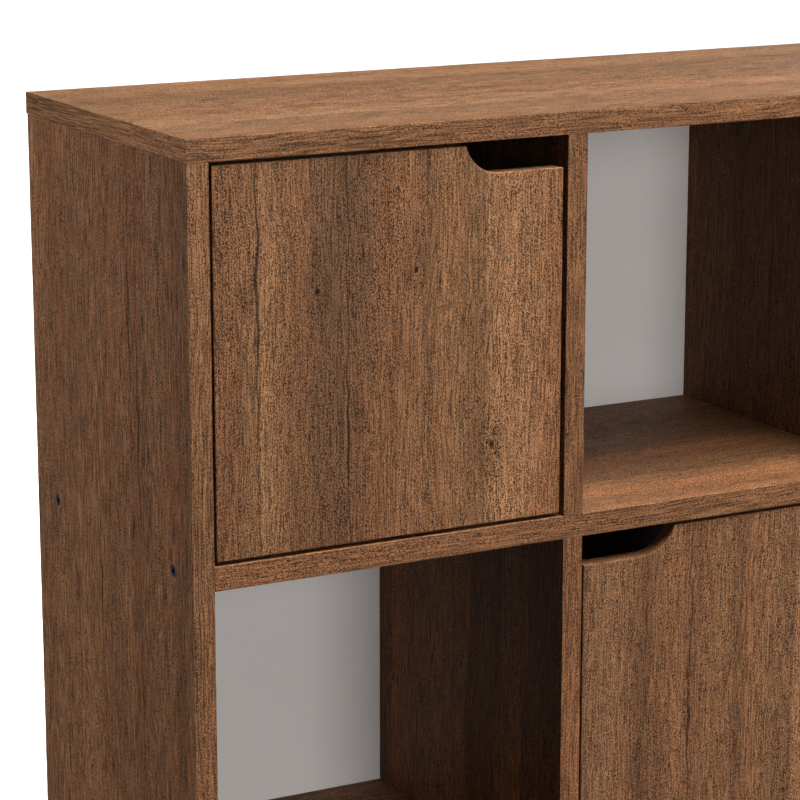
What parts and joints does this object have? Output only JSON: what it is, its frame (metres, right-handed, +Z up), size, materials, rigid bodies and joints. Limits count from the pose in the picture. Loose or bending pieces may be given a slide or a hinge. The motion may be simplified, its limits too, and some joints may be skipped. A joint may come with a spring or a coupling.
{
  "type": "cube storage unit",
  "caption": "Low wide shelving unit in walnut-effect board: open cubes and cubes closed by inset hinged doors with a corner finger notch, plain pale back.",
  "frame": {"origin": "centre of the footprint, on the floor under the glides", "axes": "+Z up, the open front and the doors face -Y, +X to the right of someone facing the front"},
  "size_m": [0.993, 0.318, 0.673],
  "materials": {
    "walnut_board": "walnut-effect melamine, satin, grain along each board",
    "back_board": "white-painted hardboard, smooth and matt",
    "steel": "nickel-plated steel",
    "screw_steel": "blue-grey blackened screw heads",
    "zinc": "zinc die casting, satin",
    "glide_plastic": "black moulded plastic",
    "stop_pad_rubber": "soft black pad",
    "beech_dowel": "fluted beech dowel"
  },
  "bodies": {
    "carcass": {"top_panel": "walnut_board", "bottom_panel": "walnut_board", "left_side": "walnut_board", "right_side": "walnut_board", "middle_shelf": "walnut_board", "upper_left_divider": "walnut_board", "upper_right_divider": "walnut_board", "lower_left_divider": "walnut_board", "lower_right_divider": "walnut_board", "back_panel": "back_board", "shelf_screws": "screw_steel", "bottom_screws": "screw_steel", "cam_locks": "zinc", "cam_bolts": "zinc", "top_dowels": "beech_dowel", "bottom_dowels": "beech_dowel", "shelf_dowels": "beech_dowel", "divider_dowels": "beech_dowel", "back_nails": "steel", "glides": "glide_plastic", "glide_nails": "steel", "wall_brackets": "steel", "bracket_screws": "steel", "left_hinge_arms": "steel", "left_hinge_plates": "zinc", "left_plate_screws": "steel", "left_arm_screws": "zinc", "left_door_stop": "glide_plastic", "left_stop_pad": "stop_pad_rubber", "left_stop_screw": "steel", "middle_hinge_arms": "steel", "middle_hinge_plates": "zinc", "middle_plate_screws": "steel", "middle_arm_screws": "zinc", "middle_door_stop": "glide_plastic", "middle_stop_pad": "stop_pad_rubber", "middle_stop_screw": "steel", "right_hinge_arms": "steel", "right_hinge_plates": "zinc", "right_plate_screws": "steel", "right_arm_screws": "zinc", "right_door_stop": "glide_plastic", "right_stop_pad": "stop_pad_rubber", "right_stop_screw": "steel"},
    "left_leaf": {"left_door": "walnut_board", "left_hinge_cups": "steel", "left_cup_screws": "steel", "left_hinge_pins": "zinc"},
    "middle_leaf": {"middle_door": "walnut_board", "middle_hinge_cups": "steel", "middle_cup_screws": "steel", "middle_hinge_pins": "zinc"},
    "right_leaf": {"right_door": "walnut_board", "right_hinge_cups": "steel", "right_cup_screws": "steel", "right_hinge_pins": "zinc"}
  },
  "joints": [
    {"name": "left_door_hinge", "type": "hinge", "parent": "carcass", "child": "left_leaf", "pos_m": [-0.4635, -0.149, 0.5015], "axis": [0, 0, -1], "range_deg": [0, 95]},
    {"name": "middle_door_hinge", "type": "hinge", "parent": "carcass", "child": "middle_leaf", "pos_m": [0.1385, -0.149, 0.1755], "axis": [0, 0, 1], "range_deg": [0, 95]},
    {"name": "right_door_hinge", "type": "hinge", "parent": "carcass", "child": "right_leaf", "pos_m": [0.4635, -0.149, 0.5015], "axis": [0, 0, 1], "range_deg": [0, 95]}
  ]
}
